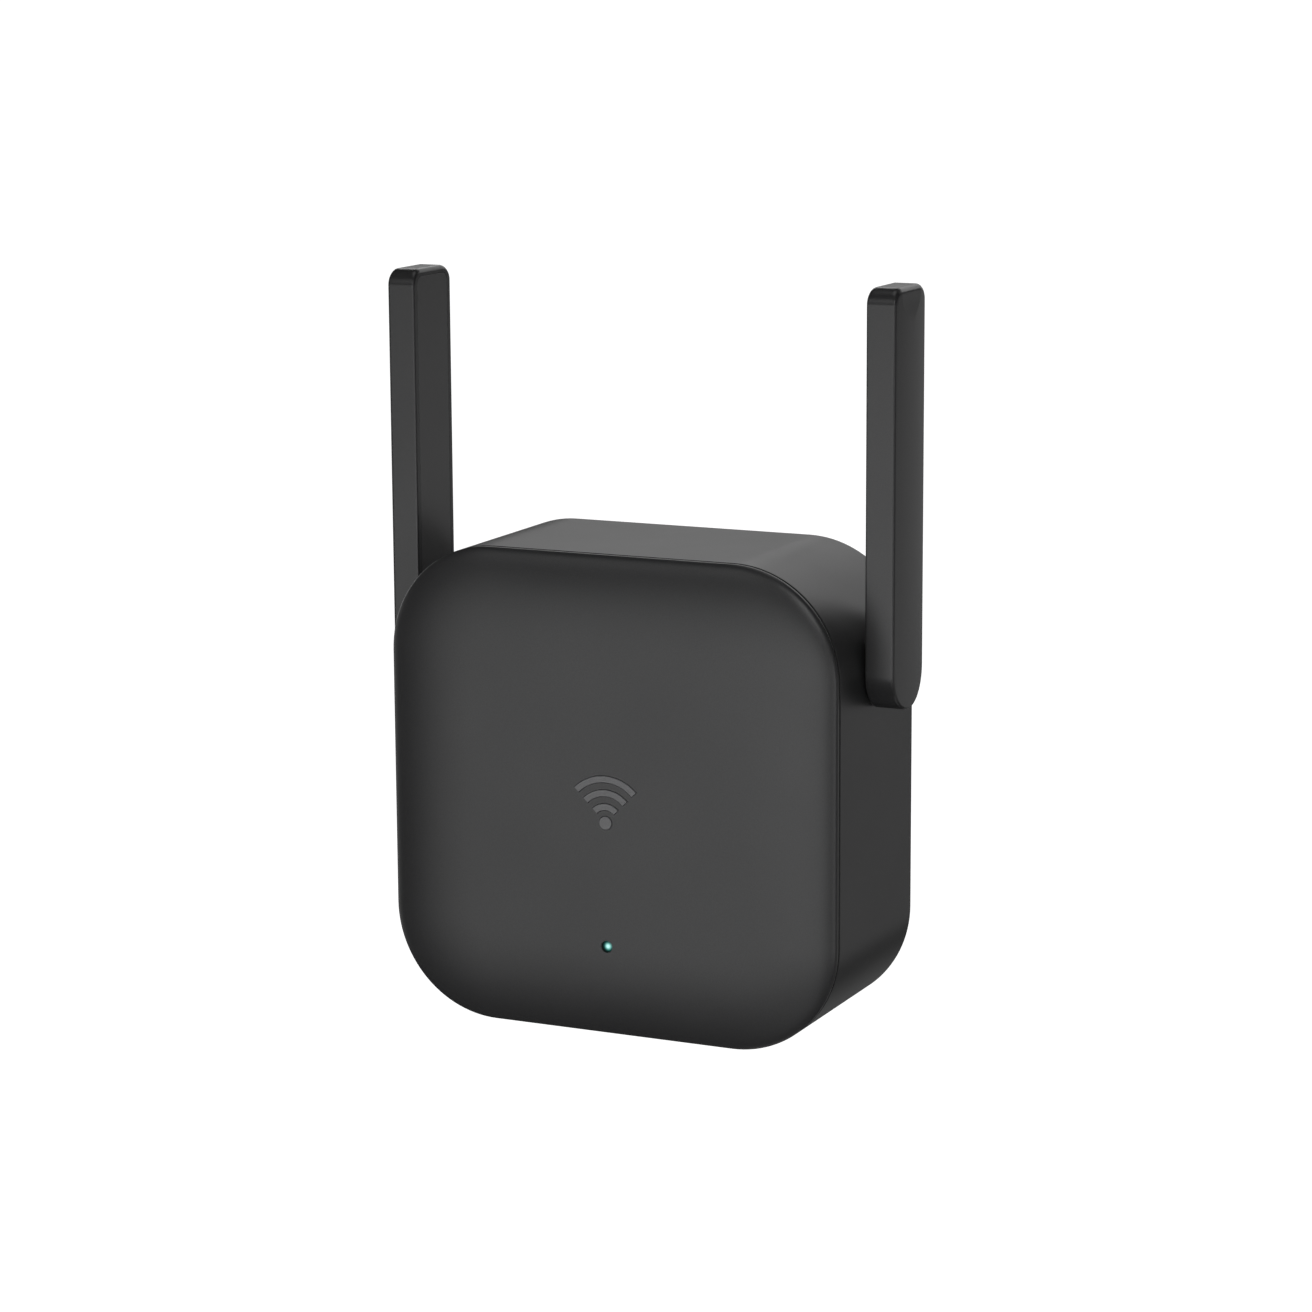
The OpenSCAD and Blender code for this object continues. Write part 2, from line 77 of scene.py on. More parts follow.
CORNER_R = 15.2 * MM
WALL = 1.6 * MM
BACK_WALL = 2 * MM
BACK_IN_Y = REAR_Y - BACK_WALL
JOINT_GAP = 0.12 * MM
CROWN_BAND = 12.5 * MM
COVER_EDGE = 0.45 * MM
RIM_T = 1.2 * MM
LIGHT_HOLE_R = 0.8 * MM
COLLAR_T = 0.6 * MM
PLUG_W, PLUG_H = 35.3 * MM, 13.7 * MM
PLUG_CHAMFER = 5 * MM
FLANGE_CORNER_R = 2 * MM
PIN_CORE_R = 1.25 * MM
RESET_HOLE_R = 1.5 * MM
BUSH_R = 3.6 * MM
SHAFT_R = 2.5 * MM
SHAFT_HEAD_IN = 0.4 * MM

PAST = 1 * MM  # how far a cutter runs past what it cuts
FIT = 0.02 * MM  # the gap all round a pin or a shaft in its hole
COVER_FIT = 0.05 * MM  # the gap all round the emblem and the light guide in the cover

# ---------- the camera ----------

CAMERA_AZIMUTH = math.radians(25.24)
CAMERA_ELEVATION = math.radians(11.08)
CAMERA_ROLL = math.radians(-0.334)
CAMERA_DISTANCE = 0.537
CAMERA_LENS = 106.2
AIM = Vector((-2.75 * MM, SEAM_Y + 19.8 * MM, 15.5 * MM))


def make_camera():
    data = bpy.data.cameras.new("camera")
    data.lens = CAMERA_LENS
    data.sensor_width = 36
    data.clip_start = 0.01
    data.clip_end = 50
    camera = bpy.data.objects.new("camera", data)
    bpy.context.collection.objects.link(camera)
    back = Vector((
        math.sin(CAMERA_AZIMUTH) * math.cos(CAMERA_ELEVATION),
        -math.cos(CAMERA_AZIMUTH) * math.cos(CAMERA_ELEVATION),
        math.sin(CAMERA_ELEVATION),
    ))
    camera.location = AIM + back * CAMERA_DISTANCE
    camera.rotation_mode = "QUATERNION"
    camera.rotation_quaternion = back.to_track_quat("Z", "Y") @ Quaternion((0, 0, 1), CAMERA_ROLL)
    bpy.context.scene.camera = camera


# ---------- outlines: lists of points in a plane, anticlockwise ----------


def arc(cu, cv, r, start, end, steps):
    """Points on an arc, angles in degrees."""
    angles = [math.radians(start + (end - start) * i / steps) for i in range(steps + 1)]
    return [(cu + r * math.cos(a), cv + r * math.sin(a)) for a in angles]


def rounded_square(inset, steps=28):
    """The case's outline in X and Z, drawn in by inset."""
    r = CORNER_R - inset
    x, z = WIDTH / 2 - CORNER_R, HEIGHT / 2 - CORNER_R
    points = []
    for i, (sx, sz) in enumerate([(1, 1), (-1, 1), (-1, -1), (1, -1)]):
        points += arc(sx * x, sz * z, r, 90 * i, 90 * i + 90, steps)
    return points


def rounded_box(w, h, r, inset=0.0, steps=8):
    """A rectangle with round corners about the origin, drawn in by inset."""
    points = []
    r_in = r - inset
    for i, (su, sv) in enumerate([(1, 1), (-1, 1), (-1, -1), (1, -1)]):
        u, v = su * (w / 2 - inset - r_in), sv * (h / 2 - inset - r_in)
        points += arc(u, v, r_in, 90 * i, 90 * i + 90, steps)
    return points


def chamfered_box(w, h, chamfer, r, inset):
    """A rectangle with cut corners, each of its eight corners rounded, drawn in by inset."""
    hw, hh = w / 2, h / 2
    first = [(hw, hh - chamfer), (hw - chamfer, hh)]
    corners = first + [(-x, z) for x, z in reversed(first)]
    corners += [(-x, -z) for x, z in first] + [(x, -z) for x, z in reversed(first)]
    return round_corners(inset_polygon(corners, inset), r - inset)


def inset_polygon(points, inset):
    """A convex anticlockwise polygon with each side moved in by inset."""
    result = []
    for i, p in enumerate(points):
        before = (Vector(p) - Vector(points[i - 1])).normalized()
        after = (Vector(points[(i + 1) % len(points)]) - Vector(p)).normalized()
        n1, n2 = Vector((-before.y, before.x)), Vector((-after.y, after.x))
        result.append(tuple(Vector(p) + (n1 + n2) * inset / (1 + n1.dot(n2))))
    return result


def round_corners(points, r, steps=5):
    """A convex anticlockwise polygon with its corners rounded."""
    result = []
    for i, p in enumerate(points):
        p = Vector(p)
        before = (p - Vector(points[i - 1])).normalized()
        after = (Vector(points[(i + 1) % len(points)]) - p).normalized()
        turn = math.degrees(before.angle(after))
        back = r * math.tan(math.radians(turn / 2))
        centre = p - before * back + Vector((-before.y, before.x)) * r
        start = math.degrees(math.atan2(-before.x, before.y))
        result += arc(centre.x, centre.y, r, start, start + turn, steps)
    return result


# ---------- meshes ----------

SHARP_ANGLE = math.radians(32)
AXIS_R = 0.002 * MM  # stands for a radius of nothing


def new_object(name, verts, faces):
    """A mesh object whose faces all point outwards."""
    mesh = bpy.data.meshes.new(name)
    mesh.from_pydata(verts, [], faces)
    mesh.validate()
    work = bmesh.new()
    work.from_mesh(mesh)
    bmesh.ops.recalc_face_normals(work, faces=work.faces)
    if work.calc_volume(signed=True) < 0:
        bmesh.ops.reverse_faces(work, faces=work.faces)
    work.to_mesh(mesh)
    work.free()
    piece = bpy.data.objects.new(name, mesh)
    bpy.context.collection.objects.link(piece)
    return piece


def loft(name, rings):
    """A closed solid through rings of the same number of points, capped at both ends."""
    n = len(rings[0])
    verts = [p for ring in rings for p in ring]
    faces = [list(range(n)), list(range(len(verts) - n, len(verts)))]
    for k in range(len(rings) - 1):
        a, b = k * n, (k + 1) * n
        faces += [(a + i, a + (i + 1) % n, b + (i + 1) % n, b + i) for i in range(n)]
    return new_object(name, verts, faces)


def loft_y(name, profile, outline):
    """A loft along Y: profile lists (inset, y), and outline(inset) gives points in X and Z."""
    return loft(name, [[(u, y, v) for u, v in outline(inset)] for inset, y in profile])


def turned(name, profile, centre, axis="y", steps=64):
    """A solid turned round an axis through centre: profile lists (radius, distance along it)."""
    rings = []
    for r, along in profile:
        ring = []
        for u, v in arc(0, 0, max(r, AXIS_R), 0, 360 - 360 / steps, steps - 1):
            point = (u, along, v) if axis == "y" else (along, u, v)
            point = (u, v, along) if axis == "z" else point
            ring.append(tuple(Vector(centre) + Vector(point)))
        rings.append(ring)
    return loft(name, rings)


def fillet(y, r, steps=5):
    """Profile points (inset, y) of a rounded edge, from the side to the end face at y."""
    angles = [math.pi / 2 * i / steps for i in range(steps + 1)]
    return [(r * (1 - math.cos(a)), y - r * (1 - math.sin(a))) for a in angles]


def join(name, parts):
    """Puts several objects' meshes into one object."""
    work = bmesh.new()
    for part in parts:
        work.from_mesh(part.data)
        bpy.data.objects.remove(part)
    mesh = bpy.data.meshes.new(name)
    work.to_mesh(mesh)
    work.free()
    piece = bpy.data.objects.new(name, mesh)
    bpy.context.collection.objects.link(piece)
    return piece


def cut(piece, cutters):
    """Cuts the cutters out of the piece and deletes them."""
    tool = join("cutter", cutters)
    modifier = piece.modifiers.new("cut", "BOOLEAN")
    modifier.operation = "DIFFERENCE"
    modifier.solver = "EXACT"
    modifier.object = tool
    graph = bpy.context.evaluated_depsgraph_get()
    mesh = bpy.data.meshes.new_from_object(piece.evaluated_get(graph))
    piece.modifiers.clear()
    piece.data = mesh
    bpy.data.objects.remove(tool)


def finish_piece(piece, body, paint, *nodes):
    """Smooth shading with crisp edges, a material, and the CAD nodes the piece stands for."""
    mesh = piece.data
    mesh.shade_smooth()
    mesh.set_sharp_from_angle(angle=SHARP_ANGLE)
    weighted = piece.modifiers.new("flat_faces", "WEIGHTED_NORMAL")
    weighted.keep_sharp = True
    weighted.weight = 60
    mesh.materials.clear()
    mesh.materials.append(paint)
    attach(piece, body)
    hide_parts(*nodes)


# ---------- materials ----------


def slot_colour(slot):
    return tuple(COLOURS[slot])


def shade(colour, amount):
    """The colour made lighter or darker."""
    return tuple(min(1.0, c * amount) for c in colour)


class Paint:
    """A node material with a grain bump, and colour and roughness that vary over the surface."""

    def __init__(self, name, colour, roughness, metallic=0.0):
        self.material = bpy.data.materials.new(name)
        self.material.use_nodes = True
        self.tree = self.material.node_tree
        self.shader = self.tree.nodes["Principled BSDF"]
        self.shader.inputs["Metallic"].default_value = metallic
        self.material.diffuse_color = (*colour, 1)
        self.colour = colour
        self.roughness = roughness
        self.place = self.node("ShaderNodeTexCoord").outputs["Object"]
        self.tint = None
        self.normal = None

    def node(self, kind, **values):
        made = self.tree.nodes.new(kind)
        for key, value in values.items():
            setattr(made, key, value)
        return made

    def link(self, source, target):
        self.tree.links.new(source, target)

    def noise(self, size, detail, stretch=(1, 1, 1)):
        """Noise with features of about this size."""
        mapping = self.node("ShaderNodeMapping")
        mapping.inputs["Scale"].default_value = stretch
        self.link(self.place, mapping.inputs["Vector"])
        made = self.node("ShaderNodeTexNoise")
        made.inputs["Scale"].default_value = 1 / size
        made.inputs["Detail"].default_value = detail
        self.link(mapping.outputs[0], made.inputs["Vector"])
        return made.outputs["Fac"]

    def bands(self, pitch, axis):
        """Ridges that repeat along an axis, such as turns of wire or tape."""
        made = self.node("ShaderNodeTexWave", wave_type="BANDS", bands_direction=axis)
        made.inputs["Scale"].default_value = math.pi / (10 * pitch)
        made.inputs["Distortion"].default_value = 0.3
        self.link(self.place, made.inputs["Vector"])
        return made.outputs["Fac"]

    def spread(self, factor, low, high):
        """Maps a factor from 0.3..0.7, where noise mostly lies, to low..high."""
        made = self.node("ShaderNodeMapRange")
        made.inputs["From Min"].default_value = 0.3
        made.inputs["From Max"].default_value = 0.7
        made.inputs["To Min"].default_value = low
        made.inputs["To Max"].default_value = high
        self.link(factor, made.inputs["Value"])
        return made.outputs[0]

    def blend(self, factor, first, second):
        """Mixes two colours, either of which may be a socket."""
        made = self.node("ShaderNodeMix", data_type="RGBA")
        self.link(factor, made.inputs["Factor"])
        for socket, value in ((made.inputs[6], first), (made.inputs[7], second)):
            if isinstance(value, bpy.types.NodeSocket):
                self.link(value, socket)
            else:
                socket.default_value = (*value, 1)
        return made.outputs[2]

    def vary(self, size, colour, roughness):
        """Slow changes of colour and roughness."""
        slow = self.noise(size, 3)
        light, dark = shade(self.colour, 1 + colour), shade(self.colour, 1 - colour)
        self.tint = self.blend(self.spread(slow, 0, 1), dark, light)
        low, high = self.roughness - roughness, self.roughness + roughness
        self.link(self.spread(slow, low, high), self.shader.inputs["Roughness"])
        return self

    def speckle(self, size, amount):
        """Fine grains a little lighter and darker than the rest."""
        grain = self.spread(self.noise(size, 1), 0, 1)
        self.tint = self.blend(grain, self.tint, shade(self.colour, 1 + amount))
        return self

    def bump(self, height, depth, strength):
        """Adds a height pattern to the surface."""
        made = self.node("ShaderNodeBump")
        made.inputs["Strength"].default_value = strength
        made.inputs["Distance"].default_value = depth
        self.link(height, made.inputs["Height"])
        if self.normal is not None:
            self.link(self.normal, made.inputs["Normal"])
        self.normal = made.outputs["Normal"]
        return self

    def grain(self, size, depth, strength=0.5):
        return self.bump(self.noise(size, 2), depth, strength)

    def lighter_edges(self, radius, lighter):
        """Edges made a little lighter, in patches."""
        rounded = self.node("ShaderNodeBevel", samples=4)
        rounded.inputs["Radius"].default_value = radius
        plain = self.node("ShaderNodeNewGeometry")
        match = self.node("ShaderNodeVectorMath", operation="DOT_PRODUCT")
        self.link(rounded.outputs[0], match.inputs[0])
        self.link(plain.outputs["Normal"], match.inputs[1])
        edge = self.node("ShaderNodeMapRange")
        edge.inputs["From Min"].default_value = 1.0
        edge.inputs["From Max"].default_value = 0.8
        self.link(match.outputs["Value"], edge.inputs["Value"])
        patchy = self.node("ShaderNodeMath", operation="MULTIPLY")
        self.link(edge.outputs[0], patchy.inputs[0])
        self.link(self.spread(self.noise(2 * MM, 3), 0.2, 0.8), patchy.inputs[1])
        self.tint = self.blend(patchy.outputs[0], self.tint, shade(self.colour, lighter))
        return self

    def done(self):
        self.link(self.tint, self.shader.inputs["Base Color"])
        if self.normal is not None:
            self.link(self.normal, self.shader.inputs["Normal"])
        return self.material


def moulded(slot, roughness, lighter=1.5, shine=0.5):
    """Matte moulded plastic with a fine spark-eroded grain."""
    paint = Paint(slot, slot_colour(slot), roughness).vary(14 * MM, 0.03, 0.012)
    paint.shader.inputs["Specular IOR Level"].default_value = shine
    paint.speckle(0.12 * MM, 0.25).lighter_edges(0.3 * MM, lighter)
    return paint.grain(0.16 * MM, 0.008 * MM, 0.4).done()


def glossy(slot, roughness):
    paint = Paint(slot, slot_colour(slot), roughness).vary(3 * MM, 0.1, 0.05)
    return paint.grain(0.5 * MM, 0.01 * MM, 0.3).done()


def metal(slot, roughness, stretch=(1, 1, 1)):
    """Plated or drawn metal, with marks stretched along the way it was worked."""
    paint = Paint(slot, slot_colour(slot), roughness, metallic=1.0).vary(2.5 * MM, 0.08, 0.06)
    return paint.bump(paint.noise(0.15 * MM, 2, stretch), 0.006 * MM, 0.35).done()


def wound(slot, pitch, axis, roughness=0.35, metallic=0.0):
    """Turns of wire or tape."""
    paint = Paint(slot, slot_colour(slot), roughness, metallic).vary(2 * MM, 0.12, 0.05)
    return paint.bump(paint.bands(pitch, axis), 0.05 * MM, 0.8).grain(0.3 * MM, 0.01 * MM).done()


def circuit_board(slot):
    """Solder mask over tracks: narrow lanes in two directions, a little lighter and raised."""
    colour = slot_colour(slot)
    paint = Paint(slot, colour, 0.32).vary(4 * MM, 0.1, 0.04)
    tracks = paint.node("ShaderNodeTexBrick", offset=0.0, squash=0.35, squash_frequency=3)
    tracks.inputs["Scale"].default_value = 1 / (6 * MM)
    tracks.inputs["Mortar Size"].default_value = 0.05
    flat = paint.node("ShaderNodeMapping", vector_type="POINT")
    flat.inputs["Rotation"].default_value = (math.radians(90), 0, 0)
    paint.link(paint.place, flat.inputs["Vector"])
    paint.link(flat.outputs[0], tracks.inputs["Vector"])
    paint.tint = paint.blend(tracks.outputs["Fac"], paint.tint, shade(colour, 1.8))
    return paint.bump(tracks.outputs["Fac"], 0.03 * MM, 0.6).grain(0.2 * MM, 0.008 * MM).done()


def lit_guide(slot, centre, core):
    """A light guide: dark at the rim, with a glowing core round its axis, palest in the middle;
    the pale middle is partly the glow of the light inside and partly a painted highlight on the
    domed front.
    """
    paint = Paint(slot, (0.004, 0.012, 0.012), 0.3).vary(1 * MM, 0.2, 0.08)
    paint.grain(0.3 * MM, 0.01 * MM, 0.3)
    away = paint.node("ShaderNodeVectorMath", operation="SUBTRACT")
    away.inputs[1].default_value = centre
    flat = paint.node("ShaderNodeVectorMath", operation="MULTIPLY")
    flat.inputs[1].default_value = (1, 0, 1)
    distance = paint.node("ShaderNodeVectorMath", operation="LENGTH")
    # the glow, whose pale middle also paints the highlight on the domed front
    glow_and_highlight = paint.node("ShaderNodeMapRange", interpolation_type="SMOOTHSTEP")
    glow_and_highlight.inputs["From Min"].default_value = core
    glow_and_highlight.inputs["From Max"].default_value = 0
    glow_and_highlight.inputs["To Min"].default_value = 0.05
    glow_and_highlight.inputs["To Max"].default_value = 1.15
    paint.link(paint.place, away.inputs[0])
    paint.link(away.outputs[0], flat.inputs[0])
    paint.link(flat.outputs[0], distance.inputs[0])
    paint.link(distance.outputs["Value"], glow_and_highlight.inputs["Value"])
    paint.link(glow_and_highlight.outputs[0], paint.shader.inputs["Emission Strength"])
    glow_and_highlight_colour = paint.blend(glow_and_highlight.outputs[0], slot_colour(slot), (0.5, 1, 0.93))
    paint.link(glow_and_highlight_colour, paint.shader.inputs["Emission Color"])
    return paint.done()


def make_paints():
    return {
        "cover_black": moulded("cover_black", 0.33),
        "case_black": moulded("case_black", 0.37),
        "antenna_black": moulded("antenna_black", 0.31, shine=0.54),
        "lid_black": moulded("lid_black", 0.31, shine=0.8),
        "emblem_grey": moulded("emblem_grey", 0.36, 1.2, 0.85),
        "plug_black": moulded("plug_black", 0.55),
        "sleeve_black": moulded("sleeve_black", 0.45),
        "button_grey": moulded("button_grey", 0.5),
        "stem_black": moulded("stem_black", 0.5),
        "chip_black": moulded("chip_black", 0.55),
        "header_cream": moulded("header_cream", 0.5, 1.1),
        "bush_black": moulded("bush_black", 0.4),
        "ferrite": moulded("ferrite", 0.65),
        "inductor_dark": moulded("inductor_dark", 0.6),
        "coax_black": moulded("coax_black", 0.5),
        "pad_blue": moulded("pad_blue", 0.75, 1.1),
        "passive_tan": moulded("passive_tan", 0.5, 1.2),
        "label_black": glossy("label_black", 0.38),
        "sheet_amber": glossy("sheet_amber", 0.3),
        "capacitor_black": glossy("capacitor_black", 0.3),
        "capacitor_blue": glossy("capacitor_blue", 0.28),
        "fuse_green": glossy("fuse_green", 0.35),
        "led_white": glossy("led_white", 0.3),
        "pin_nickel": metal("pin_nickel", 0.22, (1, 0.15, 1)),
        "contact_brass": metal("contact_brass", 0.35),
        "tin": metal("tin", 0.38, (0.2, 1, 1)),
        "switch_steel": metal("switch_steel", 0.36),
        "screw_steel": metal("screw_steel", 0.34),
        "spring_steel": metal("spring_steel", 0.34),
        "shaft_aluminium": metal("shaft_aluminium", 0.3, (0.15, 1, 1)),
        "element_copper": metal("element_copper", 0.3),
        "tape_yellow": wound("tape_yellow", 1.2 * MM, "X"),
        "copper_wire": wound("copper_wire", 0.4 * MM, "Y", 0.3, 1.0),
        "board_green": circuit_board("board_green"),
        # the glow's centre sits a little right of the axis, where the painted highlight on the
        # light guide falls
        "light_guide": lit_guide("light_guide", (0.06 * MM, 0, LIGHT_Z), 0.68 * MM),
    }


# ---------- front cover, emblem and status light ----------

EMBLEM_DEPTH = 0.35 * MM
WAVE_RADII = (2.7 * MM, 4.6 * MM, 6.5 * MM)
WAVE_WIDTH = 0.95 * MM
EMBLEM_DOT_R = 0.95 * MM


def crown_profile(steps=26):
    """Insets and heights of the crowned front, from its edge to where it turns flat."""
    points = []
    rise = SEAM_Y - CROWN_Y - COVER_EDGE
    for i in range(steps + 1):
        a = math.pi / 2 * i / steps
        points.append((CROWN_BAND * (1 - math.cos(a)), SEAM_Y - COVER_EDGE - rise * math.sin(a)))
    return points


def wave_band(name, r_out, r_in, y_front, y_back, bevel, grow):
    """One radio-wave arc of the emblem, 90 degrees wide, with softened front edges."""
    foot = EMBLEM_LOW[2] + EMBLEM_DOT_R
    r_mid, half = (r_out + r_in) / 2, (r_out - r_in) / 2 + grow
    section = [(half, y_back), (half, y_front + bevel), (half - bevel, y_front)]
    section += [(bevel - half, y_front), (-half, y_front + bevel), (-half, y_back)]
    side = math.degrees(grow / r_mid)
    rings = []
    for u, v in arc(0, 0, 1, 45 - side, 135 + side, 40):
        rings.append([(u * (r_mid + d), y, foot + v * (r_mid + d)) for d, y in section])
    return loft(name, rings)


def emblem_parts(name, y_front, y_back, bevel, grow=0.0):
    """The emblem's dot and three arcs as separate objects."""
    foot = EMBLEM_LOW[2] + EMBLEM_DOT_R
    r = EMBLEM_DOT_R + grow
    dot = [(0, y_back), (r, y_back), (r, y_front + bevel), (r - bevel, y_front), (0, y_front)]
    parts = [turned(name + "_dot", dot, (0, 0, foot), steps=40)]
    for i, radius in enumerate(WAVE_RADII):
        outer, inner = radius, radius - WAVE_WIDTH
        parts.append(wave_band(f"{name}_{i}", outer, inner, y_front, y_back, bevel, grow))
    return parts


def make_cover(paints):
    rim_outer = WALL + JOINT_GAP
    rim_inner = rim_outer + RIM_T
    soft = 0.12 * MM
    profile = [(rim_inner, SEAM_Y), (rim_inner, RIM_Y), (rim_outer, RIM_Y), (rim_outer, SEAM_Y)]
    profile += [(soft, SEAM_Y), (soft / 4, SEAM_Y - soft / 4), (0, SEAM_Y - soft)]
    cover = loft_y("front_cover_piece", profile + crown_profile(), rounded_square)
    inside, front, flare = SEAM_Y + 2 * MM, CROWN_Y - 0.04 * MM, 0.1 * MM
    hole = [(0, inside), (LIGHT_HOLE_R, inside), (LIGHT_HOLE_R, front + flare)]
    hole += [(LIGHT_HOLE_R + flare, front), (0, CROWN_Y - PAST)]
    bevel, bottom = 0.01 * MM, CROWN_Y + EMBLEM_DEPTH
    recess = emblem_parts("recess", CROWN_Y - PAST, bottom, bevel, COVER_FIT)
    cut(cover, [turned("hole", hole, (0, 0, LIGHT_Z))] + recess)
    finish_piece(cover, "case", paints["cover_black"], "front_cover")


def make_emblem(paints):
    bevel = 0.08 * MM
    parts = emblem_parts("emblem", EMBLEM_LOW[1], CROWN_Y + EMBLEM_DEPTH, bevel)
    emblem = join("front_emblem_piece", parts)
    finish_piece(emblem, "case", paints["emblem_grey"], "front_emblem")


def make_light_pipe(paints):
    r = LIGHT_HOLE_R - COVER_FIT
    front = PIPE_LOW[1]
    collar = (PIPE_HIGH[0] - PIPE_LOW[0]) / 2
    dome = 0.2 * MM
    angles = [math.pi / 2 * i / 10 for i in range(11)]
    profile = [(r * math.sin(a), front + dome * (1 - math.cos(a))) for a in angles]
    profile += [(r, SEAM_Y), (collar, SEAM_Y), (collar, SEAM_Y + COLLAR_T), (r, SEAM_Y + COLLAR_T)]
    profile += [(r, PIPE_HIGH[1]), (0, PIPE_HIGH[1])]
    pipe = turned("light_pipe_piece", profile, (0, 0, LIGHT_Z), steps=48)
    finish_piece(pipe, "case", paints["light_guide"], "light_pipe")


# ---------- case ----------

VENT_COUNT = 9
VENT_PITCH = 2.6 * MM
VENT_W, VENT_LENGTH = 1.2 * MM, 9 * MM
HOLE_FLARE = 0.25 * MM
SEAM_GROOVE = 0.35 * MM
CASE_REAR_FILLET = 0.25 * MM
PLUG_HOLE_CORNER_R = 0.6 * MM


def make_case(paints):
    groove_y = SEAM_Y + SEAM_GROOVE
    soft = 0.1 * MM
    profile = [(WALL, BACK_IN_Y), (WALL, SEAM_Y), (SEAM_GROOVE, SEAM_Y), (SEAM_GROOVE, groove_y)]
    profile += [(soft, groove_y), (0, groove_y + soft)]
    profile += fillet(REAR_Y, CASE_REAR_FILLET)
    case = loft_y("rear_housing_piece", profile, rounded_square)
    cutters = [plug_hole(), bush_hole(-1), bush_hole(1), reset_hole()]
    cutters += [vent((i - (VENT_COUNT - 1) / 2) * VENT_PITCH) for i in range(VENT_COUNT)]
    cut(case, cutters)
    finish_piece(case, "case", paints["case_black"], "rear_housing")


def plug_hole():
    def outline(inset):
        w, h = PLUG_W + 2 * JOINT_GAP, PLUG_H + 2 * JOINT_GAP
        return chamfered_box(w, h, PLUG_CHAMFER, PLUG_HOLE_CORNER_R, inset)

    return loft_y("hole", [(0, BACK_IN_Y - PAST), (0, REAR_Y + PAST)], outline)


def bush_hole(side):
    """The hole for a hinge bush, side -1 on the left and 1 on the right."""
    reach = 4 * MM
    inner, outer = side * (WIDTH / 2 - reach), side * (WIDTH / 2 + PAST)
    profile = [(0, inner), (BUSH_R, inner), (BUSH_R, outer), (0, outer)]
    return turned("hole", profile, (0, HINGE.y, HINGE.z), axis="x")


def reset_hole():
    """A round hole in the underside that widens towards the outside."""
    x, y = (BUTTON_LOW[0] + BUTTON_HIGH[0]) / 2, (BUTTON_LOW[1] + BUTTON_HIGH[1]) / 2
    low, high = CASE_LOW[2] - PAST, CASE_LOW[2] + WALL + PAST
    profile = [(0, low), (RESET_HOLE_R + HOLE_FLARE + PAST, low)]
    profile += [(RESET_HOLE_R, CASE_LOW[2] + HOLE_FLARE), (RESET_HOLE_R, high), (0, high)]
    return turned("hole", profile, (x, y, 0), axis="z")


def vent(x):
    """A slot with round ends in the underside that widens a little towards the outside."""
    below = 0.2 * MM
    levels = [(HOLE_FLARE + below, CASE_LOW[2] - below)]
    levels += [(0, CASE_LOW[2] + HOLE_FLARE), (0, CASE_LOW[2] + WALL + PAST)]
    rings = []
    for wider, z in levels:
        w, length = VENT_W + 2 * wider, VENT_LENGTH + 2 * wider
        rings.append([(x + u, HINGE.y + v, z) for u, v in rounded_box(w, length, w / 2)])
    return loft("hole", rings)


# ---------- plug ----------

PLUG_CORNER_R = 0.9 * MM
PLUG_END_FILLET = 0.6 * MM


def make_plug(paints):
    def boss_outline(inset):
        return chamfered_box(PLUG_W, PLUG_H, PLUG_CHAMFER, PLUG_CORNER_R, inset)

    def flange_outline(inset):
        w, h = PLUG_HIGH[0] - PLUG_LOW[0], PLUG_HIGH[2] - PLUG_LOW[2]
        return rounded_box(w, h, FLANGE_CORNER_R, inset)

    profile = [(0, BACK_IN_Y)] + fillet(PLUG_HIGH[1], PLUG_END_FILLET)
    boss = loft_y("boss", profile, boss_outline)
    flange = loft_y("flange", [(0, PLUG_LOW[1]), (0, BACK_IN_Y)], flange_outline)
    for part in (boss, flange):
        cut(part, [pin_hole("left"), pin_hole("right")])
    plug = join("plug_base_piece", [boss, flange])
    finish_piece(plug, "case", paints["plug_black"], "plug_base")
    make_pin(paints, "left")
    make_pin(paints, "right")


def pin_hole(side):
    """A narrow hole through the plug for a pin, with a wider mouth for its sleeve."""
    low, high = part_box("pin_sleeve_" + side)
    mouth, narrow = (high[0] - low[0]) / 2 + FIT, PIN_CORE_R + FIT
    inside, outside = PLUG_LOW[1] - PAST, PLUG_HIGH[1] + PAST
    profile = [(0, inside), (narrow, inside), (narrow, low[1])]
    profile += [(mouth, low[1]), (mouth, outside), (0, outside)]
    return turned("hole", profile, ((low[0] + high[0]) / 2, 0, 0))


def make_pin(paints, side):
    """One pin, a thin core and a full round-ended tip, and the insulating tube on its core."""
    low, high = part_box("plug_pin_" + side)
    sleeve_low, sleeve_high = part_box("pin_sleeve_" + side)
    x = (low[0] + high[0]) / 2
    r, edge, nose = (high[0] - low[0]) / 2, 0.1 * MM, 1.1 * MM
    profile = [(0, low[1]), (PIN_CORE_R, low[1]), (PIN_CORE_R, sleeve_high[1])]
    profile += [(r - edge, sleeve_high[1]), (r, sleeve_high[1] + edge)]
    for a in [math.pi / 2 * i / 8 for i in range(9)]:
        profile.append((r - nose * (1 - math.cos(a)), high[1] - nose + nose * math.sin(a)))
    profile.append((0, high[1]))
    pin = turned(f"plug_pin_{side}_piece", profile, (x, 0, 0))
    finish_piece(pin, "case", paints["pin_nickel"], "plug_pin_" + side)

    r, edge = (sleeve_high[0] - sleeve_low[0]) / 2, 0.12 * MM
    profile = [(PIN_CORE_R, sleeve_low[1]), (r, sleeve_low[1]), (r, sleeve_high[1] - edge)]
    profile += [(r - edge, sleeve_high[1]), (PIN_CORE_R, sleeve_high[1])]
    sleeve = turned_ring(f"pin_sleeve_{side}_piece", profile, (x, 0, 0))
    finish_piece(sleeve, "case", paints["sleeve_black"], "pin_sleeve_" + side)


